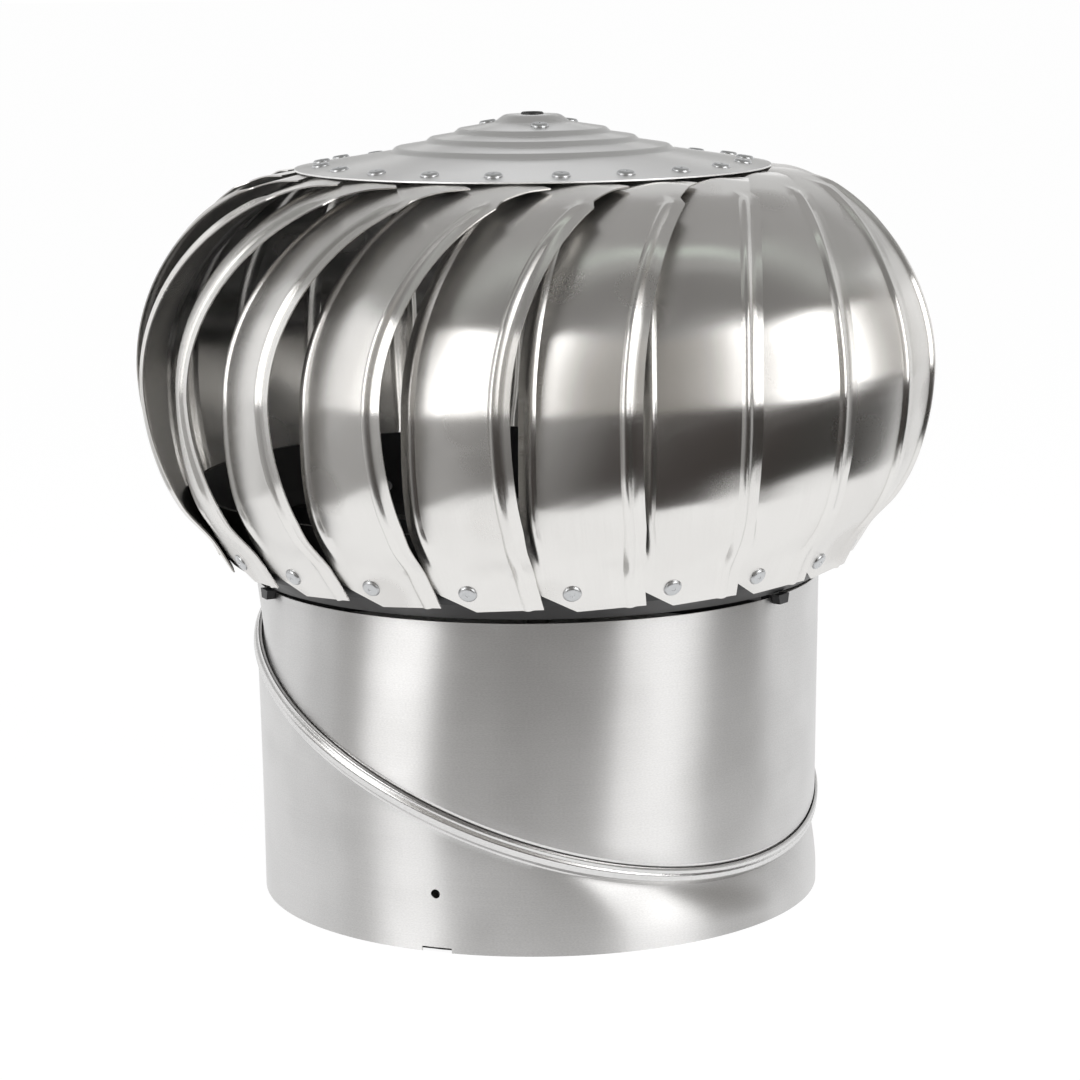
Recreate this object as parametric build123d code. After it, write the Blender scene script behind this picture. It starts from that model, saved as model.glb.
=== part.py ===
from build123d import *
from math import acos, cos, degrees, radians, sin, tan
import os

# Roof turbine ventilator for a 300 mm throat, in millimetres.
# The origin is the centre of the throat's bottom rim, +Z points up, and -Y is the front.
# Azimuths are degrees counter-clockwise from +X, seen from above.

# ---- throat: two sheet tubes that turn on an oblique rolled seam --------------------
throat_r = 150.0            # outer radius of the upper throat at its rim
spigot_r = 149.0            # outer radius of the lower throat at its bottom
spigot_height = 6.0         # straight part of the lower throat above the bottom rim
throat_wall = 0.8
throat_height = 170.0       # bottom rim to top rim with both rims level
seam_height = 94.0          # height of the seam's centre
seam_tilt = 24.0            # the seam plane's slope
seam_azimuth = -39.0        # side on which the seam runs lowest
seam_tube_r = 155.2         # outer radius of both tubes where they meet the seam
seam_bead = 3.7             # how far the rolled seam stands out from the tubes
seam_shoulder = 1.1         # how far it is rounded back halfway up to its crown
seam_lip = 1.7              # inward and downward set of the outer roll's free edge
seam_reach = 6.5            # distance along the seam axis that the roll takes either side
seam_gap = 0.6              # running gap between the two rolls
curl_high = 2.2             # the inner roll bends out this far above the seam's plane,
curl_crest = 0.7            # runs straight this far either side of it,
curl_drop = 2.6             # and ends this far below it,
curl_return = 1.9           # turned back in by this
screw_hole_d = 4.8
screw_hole_height = 30.5
screw_azimuth = -110.7
screw_count = 3
notch_width = 16.0
notch_height = 2.5
notch_depth = 10.0          # radial length of the cutter, across the wall

# ---- fixed carrier: moulded spider clipped over the throat rim, with the axle -------
carrier_arms = 3
carrier_azimuth = -36.0     # azimuth of the first arm and lug
carrier_top = 168.0         # top of the hub and of the arms
carrier_arm_w = 14.0
carrier_arm_h = 10.0
carrier_hub_r = 18.0
carrier_hub_h = 18.0
carrier_fit = 0.2           # gap between the clips and the throat's wall
carrier_arm_gap = 1.8       # gap between the arm ends and the throat, which narrows downwards
tongue_t = 1.6              # thickness of each clip tongue over the rim
riser_l = 5.0               # radial length of the step from an arm up to its tongue
web_t = 4.0                 # rib under each arm
lug_w = 10.0
lug_taper = 1.2             # each side of a lug narrows by this towards its bottom
lug_t = 4.4
lug_drop = 3.2              # how far each lug hangs below the rim
axle_r = 7.0
journal_r = 6.0             # thinner top end that carries the bearing
axle_collar_r = 10.0
axle_collar_h = 3.0
nut_flats = 19.0
nut_h = 7.0
washer_r = 12.5
washer_t = 1.6
axle_end = 4.0              # thread showing below the nut

# ---- rotor base: moulded bowl with spokes and a bushed hub --------------------------
bowl_run_gap = 1.0          # gap between the clip tongues and the bowl's bottom edge
bowl_bottom_r = 151.8       # outer radius at the bottom edge
bowl_seat_r = 169.0         # outer radius at the rivet circle
bowl_seat_height = 189.0    # height of the rivet circle
bowl_seat_slope = 30.0      # lean of the seat band from the vertical
bowl_seat_below = 7.0       # height of the seat band below the rivets
bowl_seat_above = 6.0       # and above them
bowl_rim_rise = 30.0        # height of the rim above the rivet circle
bowl_rim_inset = 4.9        # the rim lies this far inside the vanes' centre line
bowl_wall = 2.6
spokes = 3
spoke_azimuth = 24.0
spoke_w = 12.0
spoke_h = 12.0
spoke_lift = 3.4            # height of the spokes' underside above the bowl's bottom edge
hub_r = 17.0
hub_h = 28.0
bush_r = 10.0
bush_flange_r = 13.5
bush_flange_t = 1.5
bush_gap = 0.1              # running clearance of the bush on the axle

# ---- vanes ---------------------------------------------------------------------------
vane_count = 21
vane_azimuth = -101.5       # azimuth of the first vane's base rivet
vane_t = 0.7
vane_turn = 18.65           # the cap rivet leads the base rivet by this azimuth
vane_twist = -19.0          # the strip's facing at the equator, against its base rivet
vane_width = 60.0
vane_base_width = 53.0
vane_base_shift = 10.6      # sideways shift of the strip's centre line at the base rivet
vane_equator_shift = 1.6    # the same at the equator
vane_cap_shift = 8.3        # the same at the cap rivet
equator_r = 198.2           # radius of the strip's centre line at its widest
equator_height = 278.0
tail_length = 12.2          # strip below the base rivet, along its slope
tail_corner = 3.0           # sideways place of the tail's lowest corner, from the rivet
tail_rise = 3.4             # how much the tail's edge rises from that corner to the bead
tail_beads = (0.0, 0.35, 0.7)   # share of the beads' height at the tail's cross-sections
head_length = 8.0           # strip beyond the cap rivet
vane_swell = 0.8            # shape of the bulge below the equator: less is rounder
vane_lean = 1.3             # shape of the bulge above it: more is rounder
vane_shares = (0.2, 0.4, 0.68, 1.0)         # cross-sections up to the equator, by height
vane_angles = (20, 38, 54, 69, 80, 90)      # and from there to the cap, by angle
notch_angle = 70            # above this angle the flanges are cut back and the beads end
bead_w = 5.6                # stiffening beads pressed along both edges
bead_h = 1.9
outer_flange = 5.0
inner_flange = 3.4
notch_cut = 4.5             # both flanges are cut back by this under the cap

# ---- cap -----------------------------------------------------------------------------
cap_r = 124.5
cap_t = 0.8
cap_slope = 9.0
cap_rivet_r = 111.6
cap_rivet_height = 385.9    # height of the cap's top face at the rivet circle
cap_steps = (73.0, 55.0, 40.0)
step_rise = 2.0
step_run = 4.0
boss_r = 17.5
boss_h = 3.6
boss_flare = 1.5            # width of the boss's foot
boss_round = 1.0            # set-back of its top edge
plug_hole_r = 4.0
plug_r = 6.0
plug_t = 1.2
plug_dimple_r = 3.6
tab_gap = 1.0               # cone-to-tab gap at a cap rivet, so that the tab's edges clear

# ---- top bearing ---------------------------------------------------------------------
bearing_r = 16.0
bearing_h = 10.0
bearing_bottom = 388.0
bearing_inner_r = 9.0       # outer radius of the inner ring
bearing_groove = 0.6        # gap between the inner ring and the seals of the outer ring
race_t = 3.0                # radial thickness of the outer ring
seal_t = 1.5
housing_wall = 3.0
housing_lip = 2.0
housing_flange_r = 32.0
housing_flange_t = 1.6
tip_rivet_r = 25.1
tip_rivets = 3
tip_azimuth = -81.4
circlip_t = 1.2
circlip_r = 8.2
circlip_groove = 0.8

# ---- blind rivets --------------------------------------------------------------------
rivet_r = 2.0
rivet_head_r = 4.7
rivet_head_h = 1.5
rivet_flat_r = 3.8          # flat top of the head
rivet_tail_r = 3.0
rivet_tail_h = 2.0
rivet_play = 0.1            # hole radius over the rivet's radius

PITCH = 360.0 / vane_count
SEAM_BEAD_R = seam_tube_r + seam_bead
SEAM = Plane(origin=(0, 0, seam_height),
             x_dir=(cos(radians(seam_azimuth)) * cos(radians(seam_tilt)),
                    sin(radians(seam_azimuth)) * cos(radians(seam_tilt)),
                    -sin(radians(seam_tilt))),
             z_dir=(cos(radians(seam_azimuth)) * sin(radians(seam_tilt)),
                    sin(radians(seam_azimuth)) * sin(radians(seam_tilt)),
                    cos(radians(seam_tilt))))


def save(node, shape):
    """Write one node's solids to its STEP file."""
    shape.label = node
    export_step(shape, "parts/" + node + ".step")


def polar(radius, azimuth, height=0.0):
    """Point at a radius and azimuth about the vertical axis."""
    return Vector(radius * cos(radians(azimuth)), radius * sin(radians(azimuth)), height)


def ring_of(shape, count, azimuth=0.0):
    """Copies of a shape that was made at azimuth 0, evenly spaced about the axis."""
    return [Rot(0, 0, azimuth + 360.0 / count * k) * shape for k in range(count)]


def level_disc(radius, height):
    """Horizontal disc whose seam point lies on the low side of the oblique seam."""
    plane = Plane(origin=(0, 0, height), x_dir=polar(1, seam_azimuth), z_dir=(0, 0, 1))
    return plane * Circle(radius)


def seam_disc(radius, offset):
    """Disc in the oblique seam's plane, shifted along the seam's axis."""
    return SEAM.offset(offset) * Circle(radius)


def tube_to_seam(radius, height, offset):
    """Sheet tube from a level circle to the circle of the oblique seam."""
    outer = loft([level_disc(radius, height), seam_disc(seam_tube_r, offset)], ruled=True)
    inner = loft([level_disc(radius - throat_wall, height),
                  seam_disc(seam_tube_r - throat_wall, offset)], ruled=True)
    return outer - inner


def revolved(outline, plane=Plane.XZ):
    """Solid of revolution about a plane's Y direction, from a closed outline."""
    return revolve(plane * make_face(outline), axis=Axis(plane.origin, plane.y_dir))


def seam_section():
    """Plane through the seam's axis, for the outlines of the two rolls."""
    return Plane(origin=SEAM.origin, x_dir=SEAM.x_dir, z_dir=-SEAM.y_dir)


def make_lower_throat():
    """Tube with the outer roll of the seam, screw holes and bottom notches."""
    collar = extrude(Circle(spigot_r) - Circle(spigot_r - throat_wall), spigot_height)
    tube = tube_to_seam(spigot_r, spigot_height, -seam_reach)
    lip = (SEAM_BEAD_R - seam_lip, seam_reach - seam_lip)
    flank = (SEAM_BEAD_R - seam_shoulder, -seam_reach / 2)
    brow = (SEAM_BEAD_R - seam_shoulder / 3, lip[1] / 2)
    outline = []
    for r in (0, throat_wall):
        outline += [ThreePointArc((seam_tube_r - r, -seam_reach), (flank[0] - r, flank[1]),
                                  (SEAM_BEAD_R - r, 0)),
                    ThreePointArc((SEAM_BEAD_R - r, 0), (brow[0] - r, brow[1]), (lip[0] - r, lip[1]))]
    outline += [Line((seam_tube_r, -seam_reach), (seam_tube_r - throat_wall, -seam_reach)),
                Line(lip, (lip[0] - throat_wall, lip[1]))]
    throat = collar + tube + revolved(outline, seam_section())
    hole = Pos(spigot_r, 0, screw_hole_height) * Rot(0, 90, 0) * Cylinder(screw_hole_d / 2, 3 * notch_depth)
    notch = Pos(spigot_r, 0, 0) * Box(notch_depth, notch_width, 2 * notch_height)
    for cut in ring_of(hole, screw_count, screw_azimuth) + ring_of(notch, screw_count, screw_azimuth):
        throat -= cut
    return throat


def make_upper_throat():
    """Tube with the inner roll of the seam, caught inside the lower throat's roll."""
    tube = tube_to_seam(throat_r, throat_height, seam_reach)
    roll_r = SEAM_BEAD_R - throat_wall - seam_gap
    foot_r = roll_r - curl_return
    half = throat_wall / 2
    outer = [(seam_tube_r, seam_reach), (seam_tube_r, curl_high), (roll_r, curl_crest),
             (roll_r, -curl_crest), (foot_r, -curl_drop)]
    inner = [(foot_r - throat_wall, half - curl_drop), (roll_r - throat_wall, half - curl_crest),
             (roll_r - throat_wall, curl_crest - half),
             (seam_tube_r - throat_wall, curl_high - half), (seam_tube_r - throat_wall, seam_reach)]
    outline = Polyline(*outer, *inner, close=True)
    return tube + revolved(outline, seam_section())


# ---- fixed carrier and axle -----------------------------------------------------------
RIM = throat_height
TONGUE_TOP = RIM + tongue_t
HUB_BOTTOM = carrier_top - carrier_hub_h
BOWL_BOTTOM = TONGUE_TOP + bowl_run_gap


def make_carrier():
    """Spider whose three arms end in lugs clipped over the throat's top rim."""
    reach = throat_r - throat_wall - carrier_fit
    arm_end = throat_r - throat_wall - carrier_arm_gap
    arm_length = arm_end - carrier_hub_r / 2
    arm = Pos(arm_end - arm_length / 2, 0, carrier_top - carrier_arm_h / 2) * Box(
        arm_length, carrier_arm_w, carrier_arm_h)
    riser = Pos(reach - riser_l / 2, 0, (carrier_top + TONGUE_TOP) / 2) * Box(
        riser_l, lug_w, TONGUE_TOP - carrier_top)
    lug_in = throat_r + carrier_fit
    tongue = Pos((reach + lug_in) / 2, 0, RIM + tongue_t / 2) * Box(lug_in - reach, lug_w, tongue_t)
    lug_face = Plane(origin=(lug_in, 0, 0), x_dir=(0, 1, 0), z_dir=(1, 0, 0))
    outline = Polyline((-lug_w / 2, TONGUE_TOP), (lug_w / 2, TONGUE_TOP),
                       (lug_w / 2 - lug_taper, RIM - lug_drop), (lug_taper - lug_w / 2, RIM - lug_drop),
                       close=True)
    lug = extrude(lug_face * make_face(outline), lug_t)
    limb = arm + riser + tongue + lug
    web = Plane.XZ * make_face(Polyline((0, carrier_top - carrier_arm_h),
                                        (reach - riser_l, carrier_top - carrier_arm_h),
                                        (carrier_hub_r, HUB_BOTTOM), (0, HUB_BOTTOM), close=True))
    limb += extrude(web, web_t / 2, both=True)
    hub = Pos(0, 0, carrier_top - carrier_hub_h / 2) * Cylinder(carrier_hub_r, carrier_hub_h)
    for part in ring_of(limb, carrier_arms, carrier_azimuth):
        hub += part
    return hub - Pos(0, 0, carrier_top) * Cylinder(axle_r, 4 * carrier_hub_h)


AXLE_BOTTOM = HUB_BOTTOM - washer_t - nut_h - axle_end
CIRCLIP_BOTTOM = bearing_bottom + bearing_h
AXLE_TOP = CIRCLIP_BOTTOM + circlip_t + 2.0


def post(radius, bottom, top):
    """Vertical cylinder on the axis between two heights."""
    return Pos(0, 0, (bottom + top) / 2) * Cylinder(radius, top - bottom)


def make_axle():
    """Steel axle with a locating collar, a bearing journal and a circlip groove."""
    axle = post(axle_r, AXLE_BOTTOM, bearing_bottom) + post(journal_r, bearing_bottom, AXLE_TOP)
    axle += post(axle_collar_r, carrier_top, carrier_top + axle_collar_h)
    groove = post(journal_r + 1, CIRCLIP_BOTTOM, CIRCLIP_BOTTOM + circlip_t)
    return axle - (groove - post(journal_r - circlip_groove, CIRCLIP_BOTTOM - 1,
                                 CIRCLIP_BOTTOM + circlip_t + 1))


def make_washer():
    """Plain washer under the carrier's hub."""
    return post(washer_r, HUB_BOTTOM - washer_t, HUB_BOTTOM) - post(axle_r, AXLE_BOTTOM, RIM)


def make_nut():
    """Hexagon nut that pulls the axle's collar down onto the hub."""
    top = HUB_BOTTOM - washer_t
    hexagon = RegularPolygon(nut_flats / 2, 6, major_radius=False) - Circle(axle_r)
    return extrude(Pos(0, 0, top - nut_h) * hexagon, nut_h)


def make_circlip():
    """Open ring in the groove above the bearing."""
    ring = Circle(circlip_r) - Circle(journal_r - circlip_groove) - Pos(circlip_r, 0) * Rectangle(
        2 * circlip_r - journal_r, 2.5)
    return extrude(Pos(0, 0, CIRCLIP_BOTTOM) * ring, circlip_t)


# ---- rotor base -----------------------------------------------------------------------
SEAT_DIR = Vector(sin(radians(bowl_seat_slope)), 0, cos(radians(bowl_seat_slope)))
SEAT_NORMAL = Vector(cos(radians(bowl_seat_slope)), 0, -sin(radians(bowl_seat_slope)))
TAIL_RIVET = Vector(bowl_seat_r, 0, bowl_seat_height) + SEAT_NORMAL * (vane_t / 2)
SEAT = Plane(origin=TAIL_RIVET, x_dir=(0, 1, 0), z_dir=SEAT_NORMAL)
SPOKE_BOTTOM = BOWL_BOTTOM + spoke_lift


def seat_r(height):
    """Radius of the bowl's conical seat band, carried on past its ends."""
    return bowl_seat_r + (height - bowl_seat_height) * tan(radians(bowl_seat_slope))


def vane_reach(share):
    """Radius of a vane's centre line, by its share of the height up to the equator."""
    return TAIL_RIVET.X + (equator_r - TAIL_RIVET.X) * sin(radians(90 * share ** vane_swell))


def make_base_bowl():
    """Moulded bowl that carries the vanes, with spokes to the bushed hub."""
    low = bowl_seat_height - bowl_seat_below
    high = bowl_seat_height + bowl_seat_above
    rim = bowl_seat_height + bowl_rim_rise
    rim_r = vane_reach(bowl_rim_rise / (equator_height - bowl_seat_height)) - bowl_rim_inset
    points = [(bowl_bottom_r, BOWL_BOTTOM), (seat_r(low), low), (seat_r(high), high), (rim_r, rim)]
    inner = [(r - bowl_wall, h) for r, h in reversed(points)]
    bowl = revolved(Polyline(*points, *inner, close=True))
    spoke = Pos(bowl_seat_r / 2, 0, SPOKE_BOTTOM + spoke_h / 2) * Box(bowl_seat_r, spoke_w, spoke_h)
    keep = revolved(Polyline((0, BOWL_BOTTOM), *[(r - bowl_wall / 2, h) for r, h in points],
                             (0, rim), close=True))
    hub = post(hub_r, SPOKE_BOTTOM, SPOKE_BOTTOM + hub_h)
    for part in ring_of(spoke, spokes, spoke_azimuth):
        hub += part & keep
    bowl = bowl + hub - post(bush_r, SPOKE_BOTTOM - 1, SPOKE_BOTTOM + hub_h + 1)
    drill = SEAT.location * Cylinder(rivet_r + rivet_play, 12)
    for hole in ring_of(drill, vane_count, vane_azimuth):
        bowl -= hole
    return bowl


def make_hub_bush():
    """Flanged plain bush between the rotor's hub and the axle."""
    top = SPOKE_BOTTOM + hub_h
    bush = post(bush_r, SPOKE_BOTTOM, top) + post(bush_flange_r, top, top + bush_flange_t)
    return bush - post(axle_r + bush_gap, SPOKE_BOTTOM - 1, top + 2 * bush_flange_t)


# ---- vanes ----------------------------------------------------------------------------
TAB_HEIGHT = cap_rivet_height - cap_t - tab_gap - vane_t / 2
CAP_RIVET = polar(cap_rivet_r, vane_turn, TAB_HEIGHT)
ACROSS = Vector(-sin(radians(vane_twist)), cos(radians(vane_twist)), 0)
TAB_FALL = tan(radians(cap_slope)) * cos(radians(90 + vane_twist - vane_turn))


class Station:
    """One cross-section of a vane: its centre, its direction across and its trim."""

    def __init__(self, centre, across, inner, outer, bead=1.0):
        self.centre = centre
        self.across = across.normalized()
        self.inner = inner
        self.outer = outer
        self.bead = bead


def vane_stations():
    """Stations from the tail to the tab, for the vane whose base rivet is at azimuth 0."""
    side = Vector(0, 1, 0)
    half = vane_base_width / 2
    base = TAIL_RIVET + side * vane_base_shift
    flat = bowl_seat_above / cos(radians(bowl_seat_slope))
    stations = [Station(base + SEAT_DIR * along, side, half, half, bead)
                for along, bead in zip((-tail_length, 0, flat), tail_beads)]
    rise = equator_height - base.Z
    equator = Vector(equator_r, vane_equator_shift, equator_height)
    for share in vane_shares:
        twist = radians(vane_twist * sin(radians(90 * share)))
        shift = vane_equator_shift + (vane_base_shift - vane_equator_shift) * (1 - share) ** 3
        centre = Vector(vane_reach(share), shift, base.Z + rise * share)
        width = vane_base_width + (vane_width - vane_base_width) * min(1, share / vane_shares[1])
        stations.append(Station(centre, Vector(-sin(twist), cos(twist), 0), width / 2, width / 2))
    top = CAP_RIVET + ACROSS * vane_cap_shift - Vector(0, 0, TAB_FALL * vane_cap_shift)
    for angle in vane_angles:
        lean = 1 - cos(radians(angle)) ** vane_lean
        centre = equator + (top - equator) * lean
        centre.Z = equator.Z + (top.Z - equator.Z) * sin(radians(angle))
        fall = TAB_FALL * lean ** 2
        half = vane_width / 2 - (notch_cut if angle > notch_angle else 0)
        bead = 0.0 if angle > notch_angle else 1.0
        stations.append(Station(centre, ACROSS - Vector(0, 0, fall), half, half, bead))
    last = stations[-1]
    along = (last.centre - stations[-2].centre).normalized()
    stations.append(Station(last.centre + along * head_length, last.across, half, half, 0.0))
    return stations


def vane_section(station, along):
    """Closed wire of the strip's cross-section, with a bead beside each edge."""
    out = station.across.cross(along).normalized()
    left = -station.inner
    right = station.outer
    high = bead_h * station.bead
    edge = [(left, 0), (left + inner_flange, 0), (left + inner_flange + bead_w / 2, high),
            (left + inner_flange + bead_w, 0), (right - outer_flange - bead_w, 0),
            (right - outer_flange - bead_w / 2, high), (right - outer_flange, 0), (right, 0)]
    loop = [(u, w + vane_t / 2) for u, w in edge] + [(u, w - vane_t / 2) for u, w in reversed(edge)]
    return Wire.make_polygon([station.centre + station.across * u + out * w for u, w in loop])


def make_vane():
    """Curved, twisted vane at azimuth 0, with its tail cut and its two rivet holes."""
    stations = vane_stations()
    wires = []
    for k, station in enumerate(stations):
        before = stations[max(k - 1, 0)].centre
        after = stations[min(k + 1, len(stations) - 1)].centre
        wires.append(vane_section(station, (after - before).normalized()))
    flat = len(tail_beads)
    vane = Solid.make_loft(wires[:flat], ruled=True) + Solid.make_loft(wires[flat - 1:])
    left = vane_base_shift - vane_base_width / 2 - 2
    right = vane_base_shift + vane_base_width / 2 + 2
    low = -tail_length - 2
    trim = Polyline((left, low), (left, 2), (tail_corner, 0.4 - tail_length),
                    (right, tail_rise - tail_length), (right, low), close=True)
    vane -= extrude(SEAT * make_face(trim), 6, both=True)
    vane -= SEAT * Cylinder(rivet_r + rivet_play, 4 * vane_t)
    return vane - cap_rivet_plane(vane_turn, cap_rivet_height) * Cylinder(rivet_r + rivet_play, 8 * cap_t)


# ---- cap and rivets -------------------------------------------------------------------
def cap_rivet_plane(azimuth, height, radius=cap_rivet_r):
    """Plane whose normal is square to the cap's cone at an azimuth."""
    lean = radians(cap_slope)
    return Plane(origin=polar(radius, azimuth, height), x_dir=polar(1, azimuth + 90),
                 z_dir=polar(sin(lean), azimuth, cos(lean)))


def cap_height(radius):
    """Height of the cap's top face at a radius, over the cone and its raised steps."""
    height = cap_rivet_height + (cap_rivet_r - radius) * tan(radians(cap_slope))
    for step in cap_steps:
        height += step_rise * min(1, max(0, (step + step_run / 2 - radius) / step_run))
    return height


BOSS_TOP = cap_height(boss_r) + boss_h


def make_cap():
    """Spun cap: a shallow cone raised in concentric steps, with a central boss."""
    radii = [cap_r]
    for step in cap_steps:
        radii += [step + step_run / 2, step - step_run / 2]
    cone = [(r, cap_height(r)) for r in radii]
    foot = boss_r + boss_flare
    top = cone + [(foot, cap_height(foot)), (boss_r - boss_round, BOSS_TOP), (plug_hole_r, BOSS_TOP)]
    under = [(plug_hole_r, BOSS_TOP - cap_t), (boss_r - boss_round - cap_t, BOSS_TOP - cap_t),
             (foot - cap_t, cap_height(foot - cap_t) - cap_t)]
    under += [(r, h - cap_t) for r, h in reversed(cone)]
    cap = revolved(Polyline(*top, *under, close=True))
    hole = Cylinder(rivet_r + rivet_play, 6 * cap_t)
    for k in range(vane_count):
        cap -= cap_rivet_plane(vane_azimuth + vane_turn + PITCH * k, cap_rivet_height) * hole
    for k in range(tip_rivets):
        plane = cap_rivet_plane(tip_azimuth + 360 / tip_rivets * k, cap_height(tip_rivet_r), tip_rivet_r)
        cap -= plane * hole
    return cap


def make_plug():
    """Moulded plug in the boss's centre hole."""
    head = post(plug_r, BOSS_TOP, BOSS_TOP + plug_t)
    stem = post(plug_hole_r - rivet_play, BOSS_TOP - 3 * cap_t, BOSS_TOP)
    dimple = post(plug_dimple_r, BOSS_TOP + plug_t / 2, BOSS_TOP + 2 * plug_t)
    return head + stem - dimple


def rivet(grip):
    """Blind rivet with its head's seat at the origin and its shank down the -Z axis."""
    outline = Polyline((0, -grip - rivet_tail_h), (rivet_tail_r, -grip - rivet_tail_h),
                       (rivet_r, -grip), (rivet_r, 0), (rivet_head_r, 0),
                       (rivet_flat_r, rivet_head_h), (0, rivet_head_h), close=True)
    return revolved(outline)


def make_cap_rivets():
    """One rivet through the cap and each vane's tab."""
    body = rivet(cap_t + tab_gap + vane_t + 3 * rivet_play)
    return Compound(children=[
        cap_rivet_plane(vane_azimuth + vane_turn + PITCH * k, cap_rivet_height).location
        * Pos(0, 0, 0.05) * body for k in range(vane_count)])


def make_base_rivets():
    """One rivet through each vane's tail and the bowl's seat band."""
    body = rivet(vane_t + bowl_wall / cos(radians(bowl_seat_slope)) + rivet_play)
    seated = SEAT.offset(vane_t / 2).location * body
    return Compound(children=ring_of(seated, vane_count, vane_azimuth))


def make_tip_rivets():
    """Three rivets through the cap and the bearing housing's flange."""
    body = rivet(cap_t + housing_flange_t + 3 * rivet_play)
    return Compound(children=[
        cap_rivet_plane(tip_azimuth + 360 / tip_rivets * k, cap_height(tip_rivet_r),
                        tip_rivet_r).location * Pos(0, 0, 0.05) * body for k in range(tip_rivets)])


# ---- top bearing ----------------------------------------------------------------------
def make_bearing_housing():
    """Cup under the cap that holds the bearing's outer ring, with a riveted flange."""
    outer = bearing_r + housing_wall
    bottom = bearing_bottom - housing_lip

    def under(radius):
        return cap_height(radius) - cap_t - 0.05
    outline = Polyline((bearing_r - housing_lip, bottom), (outer, bottom),
                       (outer, under(outer) - housing_flange_t),
                       (housing_flange_r, under(housing_flange_r) - housing_flange_t),
                       (housing_flange_r, under(housing_flange_r)), (outer, under(outer)),
                       (bearing_r, under(outer)), (bearing_r, bearing_bottom),
                       (bearing_r - housing_lip, bearing_bottom), close=True)
    housing = revolved(outline)
    for k in range(tip_rivets):
        plane = cap_rivet_plane(tip_azimuth + 360 / tip_rivets * k, cap_height(tip_rivet_r), tip_rivet_r)
        housing -= plane * Cylinder(rivet_r + rivet_play, 12)
    return housing


def make_bearing_outer():
    """Outer ring with the seals that close both ends of the bearing."""
    inside = bearing_r - race_t
    gap_r = bearing_inner_r + bearing_groove
    top = bearing_bottom + bearing_h
    outline = Polyline((gap_r, bearing_bottom), (bearing_r, bearing_bottom), (bearing_r, top),
                       (gap_r, top), (gap_r, top - seal_t), (inside, top - seal_t),
                       (inside, bearing_bottom + seal_t), (gap_r, bearing_bottom + seal_t), close=True)
    return revolved(outline)


def make_bearing_inner():
    """Inner ring that stands on the axle's shoulder."""
    top = bearing_bottom + bearing_h
    return post(bearing_inner_r, bearing_bottom, top) - post(journal_r, bearing_bottom - 1, top + 1)


def main():
    os.makedirs("parts", exist_ok=True)
    save("lower_throat", make_lower_throat())
    save("upper_throat", make_upper_throat())
    save("axle_carrier", make_carrier())
    save("axle", make_axle())
    save("axle_washer", make_washer())
    save("axle_nut", make_nut())
    save("bearing_circlip", make_circlip())
    save("bearing_inner_ring", make_bearing_inner())
    save("bearing_outer_ring", make_bearing_outer())
    save("bearing_housing", make_bearing_housing())
    save("base_bowl", make_base_bowl())
    save("hub_bush", make_hub_bush())
    save("cap", make_cap())
    save("cap_plug", make_plug())
    save("cap_rivets", make_cap_rivets())
    save("base_rivets", make_base_rivets())
    save("tip_rivets", make_tip_rivets())
    vane = make_vane()
    for k in range(vane_count):
        save("vane_%02d" % (k + 1), Rot(0, 0, vane_azimuth + PITCH * k) * vane)


main()
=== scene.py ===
import bmesh
import bpy
from math import cos, pi, radians, sin, tan
from mathutils import Matrix, Vector


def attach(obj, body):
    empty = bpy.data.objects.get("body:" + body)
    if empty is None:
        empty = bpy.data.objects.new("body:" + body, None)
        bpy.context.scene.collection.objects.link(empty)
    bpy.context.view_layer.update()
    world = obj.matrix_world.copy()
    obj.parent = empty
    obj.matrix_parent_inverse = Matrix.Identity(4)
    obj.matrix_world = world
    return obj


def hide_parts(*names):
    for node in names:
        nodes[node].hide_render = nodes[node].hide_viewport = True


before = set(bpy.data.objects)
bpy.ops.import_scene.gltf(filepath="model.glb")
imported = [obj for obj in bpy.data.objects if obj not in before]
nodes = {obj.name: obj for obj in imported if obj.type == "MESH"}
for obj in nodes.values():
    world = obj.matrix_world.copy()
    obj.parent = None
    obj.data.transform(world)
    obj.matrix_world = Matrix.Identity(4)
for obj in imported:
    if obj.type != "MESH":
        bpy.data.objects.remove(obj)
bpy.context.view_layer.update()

MM = 0.001
SHARP = 35.0                       # faces that meet more steeply than this keep their edge

# ---- sizes in millimetres and degrees; those of the solids are as in the part's source --
# throat: two tubes and the oblique seam between them
throat_r, spigot_r, spigot_h, wall, throat_h = 150.0, 149.0, 6.0, 0.8, 170.0
seam_h, seam_tilt, seam_az, tube_r = 94.0, 24.0, -39.0, 155.2
seam_reach = 6.5                   # from the seam's plane to where each wall begins
lower_ease = 2.0                   # how late the lower wall is drawn to the seam
curl_thin = 0.3                    # by which the curl's inner face is nearer to that plane
screw_az, screw_h, screw_r, screw_count = -110.7, 30.5, 2.4, 3
rim_notch_half, rim_notch_h = 8.0, 2.5
around = 288

# vanes: seat on the bowl, strip, tail, cap end, beads, arch, twist and rows of the mesh;
# a share is of the height from the rivet to the equator, and twist_start and twist_pass
# are rates of twist at those two, twist_rest what is added from there to the cap
seat_radius, seat_height, seat_slope, seat_above = 169.0, 189.0, 30.0, 6.0
count, first_az, vane_t, vane_turn, vane_twist = 21, -101.5, 0.7, 18.65, -19.0
vane_w, base_w, base_shift, equator_shift, cap_shift = 60.0, 53.0, 10.6, 1.6, 8.3
equator_r, equator_h = 198.2, 278.0
tail, tail_left, tail_corner, tail_right = 12.2, -17.9, 3.0, 39.1
tail_left_v, tail_corner_rise, tail_rise = 2.0, 0.4, 3.4
head, notch, notch_angle, notch_run = 8.0, 4.5, 68.5, 2.0
bead_w, bead_h, bead_round, flange_out, flange_in = 5.6, 1.9, 1.3, 5.0, 3.4
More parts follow.
